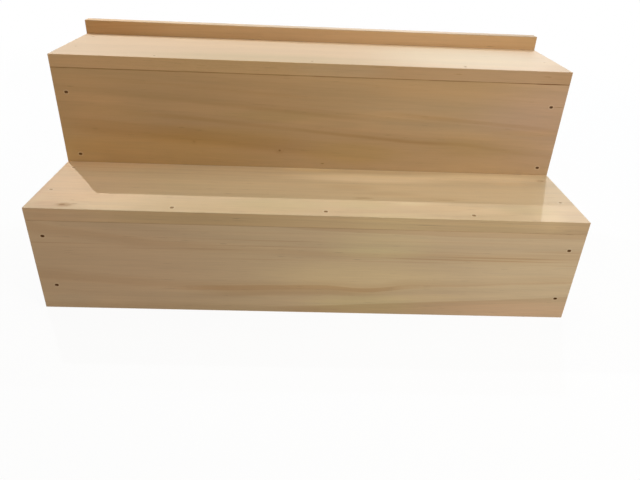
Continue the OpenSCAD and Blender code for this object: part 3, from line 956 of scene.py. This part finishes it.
def nail_marks(wood, board, place):
    """Darkness of the holes in a board, partly crushed wood and partly painted shade that widens the shadowed
    hole, and how bruised the wood is around them.
    """
    nail = bpy.context.scene.riser_nails
    low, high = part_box(board)
    turn = Matrix.Rotation(board_turn(board), 3, "Z")
    ragged = wood.product(wood.noise(place, CRUSHED_EDGES), 0.5 * MM)
    stain = bruise = 0.0
    for row in of_board(NAIL_ROWS, board):
        across = turn @ Vector([1.0 - abs(part) for part in row.face])
        shape = {
            "Place": place,
            "Across": [abs(part) for part in across],
            "Straight": ((nail.hole_length - nail.hole_width) / 2, row.spread, row.spread),
            "Round": nail.hole_width / 2,
        }
        nearest = FAR
        for middle in nail_middles(row):
            spot = {"Nail": turn @ (middle - (low + high) / 2)}
            hole = wood.group("nail_hole", hole_group, shape | spot)
            nearest = wood.math("MINIMUM", nearest, hole["Distance"])
        nearest = wood.times_plus(nearest, 1 / row.crush, ragged)
        stain = wood.largest(stain, wood.ramp(nearest, 0.6 * nail.stain, nail.stain, row.darkness, 0.0))
        inner = wood.ramp(nearest, nail.stain, 1.2 * nail.stain)
        outer = wood.ramp(nearest, 1.4 * nail.stain, nail.halo, 1.0, 0.0)
        bruise = wood.largest(bruise, wood.product(inner, outer))
    return stain, bruise


def streak_share(wood, board, place):
    """How dark the fine streaks may be at a place in a board."""
    cut = CUTS[board]
    height = wood.split(place)[2]
    low, high = cut.streaks_between
    above = wood.ramp(height, low, low + 0.010)
    return wood.product(above, wood.ramp(height, high - 0.006, high, 0.45 * cut.streaks, 0.0))


def band_marks(wood, board, place, radius):
    """How dark the broad bands of a board's log are at a place this far from the pith."""
    along, _, height = wood.split(place)
    dark = 0.0
    for band in CUTS[board].bands:
        away = wood.math("ABSOLUTE", wood.math("SUBTRACT", radius, band.radius))
        half = band.thickness / 2
        share = wood.product(
            wood.ramp(away, half, half + band.edge, band.darkness, 0.0),
            *wood.window(along, *band.along, FADE_ALONG),
            *wood.window(height, band.above, band.below, FADE_ACROSS),
        )
        dark = wood.largest(dark, share)
    return dark


def spot_marks(wood, board, place):
    """Darkness of the knots and streaks in a board, and how far they push the rings."""
    stain = push = 0.0
    for face in of_board(SPOTS, board):
        for spot in SPOTS[face]:
            values = {"Place": place, "Middle": face.middle(spot), "Reach": face.reach(spot)}
            mark = wood.group("dark_spot", spot_group, values | titled(spot, "Darkness", "Push"))
            stain = wood.largest(stain, mark["Stain"])
            push = wood.math("ADD", push, mark["Push"])
    return stain, push


def with_tone_and_painted_light(wood, board, place, colour):
    """The colour of a board's wood at a place, with its broad patches."""
    for face in of_board(TONE_AND_LIGHT_PATCHES, board):
        for tone in TONE_AND_LIGHT_PATCHES[face]:
            away = wood.vector("SUBTRACT", place, face.middle(tone))
            away = wood.vector("DIVIDE", away, face.reach(tone))
            share = wood.ramp(wood.vector("LENGTH", away), 0.25, 1.0, 1.0, 0.0)
            colour = wood.mix(share, colour, wood.tint(colour, opaque(tone.tint)))
    return colour


def painted_joint_shade(wood, board, place):
    """Painted shade in the lines where a front meets its shelf."""
    stain = 0.0
    for joint in SHADED_JOINTS:
        if board not in (joint.front, joint.shelf):
            continue
        low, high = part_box(joint.front)
        away = wood.vector("SUBTRACT", place, (0.0, low.y, high.z))
        away = wood.vector("LENGTH", wood.vector("MULTIPLY", away, (0.0, 1.0, 1.0)))
        along = wood.split(place)[0]
        gape = wood.ramp(along, joint.gape_from, joint.gape_from + GAPE_FADE, joint.darkness, joint.gape)
        uneven = wood.line_noise(wood.product(along, 22.0), detail=2.0)
        gape = wood.product(gape, wood.ramp(uneven, 0.3, 0.6, 0.65, 1.0))
        line = wood.product(wood.ramp(away, *LINE_FADE, 1.0, 0.0), gape)
        stain = wood.largest(stain, line)
    return stain


def pine_material(board):
    """The material of one board, cut from its own log."""
    pine = bpy.context.scene.riser_pine
    cut = CUTS[board]
    material, wood = new_material(f"{board}_pine")
    low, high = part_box(board)
    source = wood.add("ShaderNodeTexCoord").outputs
    in_riser = source["Object"]
    centred = wood.vector("SUBTRACT", in_riser, tuple((low + high) / 2))
    still, turn = (0.0, 0.0, 0.0), (0.0, 0.0, board_turn(board))
    place = wood.run("ShaderNodeMapping", (centred, still, turn), vector_type="POINT")
    facing = wood.run("ShaderNodeMapping", (source["Normal"], still, turn), vector_type="NORMAL")
    hole_stain_and_shade, bruise = nail_marks(wood, board, place)
    spot_stain, push = spot_marks(wood, board, in_riser)
    # The stain holds real marks and the painted shade of the joints and of the nail holes
    stain = wood.largest(hole_stain_and_shade, spot_stain, painted_joint_shade(wood, board, in_riser))
    sawn = titled(cut, "Pith", "Lean", "Fan", "Bow", "Wave", "Stave", "Seed")
    log = wood.group("pine_log", log_group, {"Place": place, "Push": push} | sawn)
    values = {
        "Place": place,
        "Facing": facing,
        "Stave Width": cut.stave,
        "Bands": band_marks(wood, board, place, log["Radius"]),
        "Streaks": streak_share(wood, board, place),
        "Stain": stain,
        "Bruise": bruise,
        "Earlywood": with_tone_and_painted_light(wood, board, in_riser, opaque(getattr(pine, board))),
        "Latewood": opaque(pine.latewood),
        "End Grain": opaque(pine.end_grain),
        "Resin": opaque(pine.resin),
    }
    values |= {title: log[title] for title in ("Radius", "Stave", "Seed")}
    values |= titled(cut, "Ring", "Contrast", "Mottle")
    pattern = wood.group("pine_wood", pine_group, values)
    relief = {"Strength": 1.0, "Distance": pine.relief, "Height": pattern["Height"]}
    surface = {
        "Base Color": pattern["Color"],
        "Roughness": wood.largest(pattern["Roughness"], stain),
        "Specular IOR Level": pine.gloss,
        "Normal": wood.add("ShaderNodeBump", relief).outputs[0],
    }
    wood.show(wood.add("ShaderNodeBsdfPrincipled", surface).outputs[0])
    return material


def steel_material():
    """Dull plated wire."""
    nail = bpy.context.scene.riser_nails
    material, steel = new_material("nail_steel")
    spots = steel.noise(steel.add("ShaderNodeTexCoord").outputs["Object"], PLATING)
    dark = opaque([0.6 * part for part in nail.steel])
    surface = {
        "Base Color": steel.mix(steel.ramp(spots, 0.35, 0.65), opaque(nail.steel), dark),
        "Metallic": 0.9,
        "Roughness": steel.ramp(spots, 0.3, 0.7, 0.40, 0.60),
    }
    steel.show(steel.add("ShaderNodeBsdfPrincipled", surface).outputs[0])
    return material


def dress(node, material):
    """Gives a CAD node its material."""
    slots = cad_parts[node].data.materials
    slots.clear()
    slots.append(material)


def finish_board(board):
    """Gives a board its wood, and each nail hole in it a torn rim."""
    material = pine_material(board)
    dress(board, material)
    rims = [
        torn_rim(row, middle, RIM_SEED + number)
        for row in of_board(NAIL_ROWS, board)
        for number, middle in enumerate(nail_middles(row))
    ]
    if not rims:
        return
    bpy.ops.object.select_all(action="DESELECT")
    for rim in rims:
        rim.select_set(True)
    bpy.context.view_layer.objects.active = rims[0]
    bpy.ops.object.join()
    piece = bpy.context.object
    piece.name = f"{board}_burrs"
    piece.data.materials.append(material)
    bpy.ops.object.shade_smooth()
    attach(piece, BODY)


def torn_rim(row, middle, seed):
    """The rim of fibres that a nail tears up around its hole, lying in the board's face."""
    nail = bpy.context.scene.riser_nails
    straight = (nail.hole_length - nail.hole_width) / 2
    bpy.ops.mesh.primitive_torus_add(
        major_segments=RIM_SEGMENTS,
        minor_segments=RIM_SIDES,
        major_radius=(nail.hole_width + nail.burr_width) / 2,
        minor_radius=nail.burr_width / 2,
        location=(0.0, 0.0, 0.0),
    )
    rim = bpy.context.object
    flatten = 2 * nail.burr_height / nail.burr_width
    for vert in rim.data.vertices:
        x, y = (part / MM * TEAR_SWINGS for part in vert.co.xy)
        torn = noise.noise(Vector((x, y, seed * RIM_SEED_STEP)))
        vert.co.x += math.copysign(straight, vert.co.x) * (1.0 + TEAR_LENGTH * torn)
        vert.co.z *= flatten * (1.0 + TEAR_HEIGHT * torn)
    face = Vector(row.face)
    grain = Vector((0, 1, 0) if row.board in GRAIN_ALONG_Y else (1, 0, 0))
    turn = Matrix((grain, face.cross(grain), face)).transposed()
    low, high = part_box(row.board)
    corner = Vector(high[i] if face[i] > 0 else low[i] for i in range(3))
    spot = Vector(corner[i] if face[i] else middle[i] for i in range(3))
    rim.data.transform(Matrix.Translation(spot) @ turn.to_4x4())
    return rim


class BoardStep:
    """A step that finishes some of the boards."""

    boards = ()

    def execute(self, context):
        for board in self.boards:
            finish_board(board)
        return {"FINISHED"}


class RISER_OT_finish_fronts(BoardStep, bpy.types.Operator):
    """Give the two front boards their wood"""

    bl_idname = "riser.finish_fronts"
    bl_label = "Finish the Fronts"
    boards = ("lower_front", "upper_front")


class RISER_OT_finish_shelves(BoardStep, bpy.types.Operator):
    """Give the two shelves their wood"""

    bl_idname = "riser.finish_shelves"
    bl_label = "Finish the Shelves"
    boards = ("lower_shelf", "upper_shelf")


class RISER_OT_finish_lip(BoardStep, bpy.types.Operator):
    """Give the back lip its wood"""

    bl_idname = "riser.finish_lip"
    bl_label = "Finish the Back Lip"
    boards = ("back_lip",)


class RISER_OT_finish_frame(BoardStep, bpy.types.Operator):
    """Give the side panels and the rail their wood"""

    bl_idname = "riser.finish_frame"
    bl_label = "Finish the Frame"
    boards = ("left_side", "right_side", "rear_rail")


class RISER_OT_finish_nails(bpy.types.Operator):
    """Give every nail its plated steel"""

    bl_idname = "riser.finish_nails"
    bl_label = "Finish the Nails"

    def execute(self, context):
        steel = steel_material()
        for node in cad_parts:
            if node.endswith("_nails"):
                dress(node, steel)
        return {"FINISHED"}


class RISER_OT_set_stage(bpy.types.Operator):
    """Set up the camera, the lamps, the room light and the floor"""

    bl_idname = "riser.set_stage"
    bl_label = "Set the Stage"

    def execute(self, context):
        stage = context.scene.riser_stage
        context.scene.view_settings.view_transform = "Standard"
        set_camera(stage)
        set_lamps(stage)
        set_room()
        set_floor(stage)
        return {"FINISHED"}


def set_up(data, place, turn):
    """Puts a camera or a lamp in the scene."""
    holder = bpy.data.objects.new(data.name, data)
    holder.location = place
    holder.rotation_euler = turn
    bpy.context.scene.collection.objects.link(holder)
    return holder


def set_camera(stage):
    data = bpy.data.cameras.new("camera")
    data.lens = stage.camera_lens
    data.sensor_width = SENSOR_WIDTH
    bpy.context.scene.camera = set_up(data, stage.camera_place, stage.camera_turn)


def set_lamps(stage):
    for name, lamp in LAMPS.items():
        data = bpy.data.lights.new(name, lamp.kind)
        data.energy = getattr(stage, name)
        data.color = getattr(stage, f"{name}_tint")
        if lamp.kind == "AREA":
            data.size = lamp.size
        else:
            data.shadow_soft_size = lamp.size
        turn = (Vector(lamp.place) - Vector(AIM)).to_track_quat("Z", "Y").to_euler()
        set_up(data, lamp.place, turn).visible_camera = False


def seen_directly(nodes):
    """1 where the camera, a mirror or a pane sees the surface, and 0 for the light it throws back."""
    path = nodes.add("ShaderNodeLightPath").outputs
    return nodes.largest(path["Is Camera Ray"], path["Is Glossy Ray"], path["Is Transmission Ray"])


def set_room():
    """A room that shows as white, but doesn't light the riser, apart from what its gloss mirrors."""
    world = bpy.data.worlds.new("room")
    world.use_nodes = True
    world.node_tree.nodes.clear()
    nodes = NodeTree(world.node_tree)
    background = nodes.run("ShaderNodeBackground", (WHITE, seen_directly(nodes)))
    nodes.show(background, "ShaderNodeOutputWorld")
    bpy.context.scene.world = world


def set_floor(stage):
    """A white floor that keeps a faint shadow where it is seen, and throws a counter's warm light up."""
    bpy.ops.mesh.primitive_plane_add(size=FLOOR_SIZE, location=(0.0, 0.0, 0.0))
    floor = bpy.context.object
    floor.name = "floor"
    material, nodes = new_material("floor")
    white = nodes.run("ShaderNodeBsdfDiffuse", [WHITE])
    glow = nodes.run("ShaderNodeEmission", [WHITE])
    counter = nodes.run("ShaderNodeEmission", [opaque(stage.counter_light)])
    place = nodes.add("ShaderNodeTexCoord").outputs["Object"]
    share = nodes.ramp(nodes.vector("LENGTH", place), *FLOOR_FADE, stage.floor_glow, 1.0)
    shown = nodes.run("ShaderNodeMixShader", (share, white, glow))
    nodes.show(nodes.run("ShaderNodeMixShader", (seen_directly(nodes), counter, shown)))
    floor.data.materials.append(material)


STEPS = (
    RISER_OT_set_stage,
    RISER_OT_finish_fronts,
    RISER_OT_finish_shelves,
    RISER_OT_finish_lip,
    RISER_OT_finish_frame,
    RISER_OT_finish_nails,
)


class RISER_PT_panel(bpy.types.Panel):
    """Lists the steps that finish the riser"""

    bl_label = "Display Riser"
    bl_idname = "RISER_PT_panel"
    bl_space_type = "VIEW_3D"
    bl_region_type = "UI"
    bl_category = "Riser"

    def draw(self, context):
        for step in STEPS:
            self.layout.operator(step.bl_idname)


CLASSES = (PineSettings, NailSettings, StageSettings, *STEPS, RISER_PT_panel)


def register():
    for cls in CLASSES:
        bpy.utils.register_class(cls)
    bpy.types.Scene.riser_pine = PointerProperty(type=PineSettings)
    bpy.types.Scene.riser_nails = PointerProperty(type=NailSettings)
    bpy.types.Scene.riser_stage = PointerProperty(type=StageSettings)


def unregister():
    del bpy.types.Scene.riser_stage
    del bpy.types.Scene.riser_nails
    del bpy.types.Scene.riser_pine
    for cls in reversed(CLASSES):
        bpy.utils.unregister_class(cls)


def main():
    register()
    for step in STEPS:
        group, name = step.bl_idname.split(".")
        getattr(getattr(bpy.ops, group), name)()


if __name__ == "__main__":
    main()
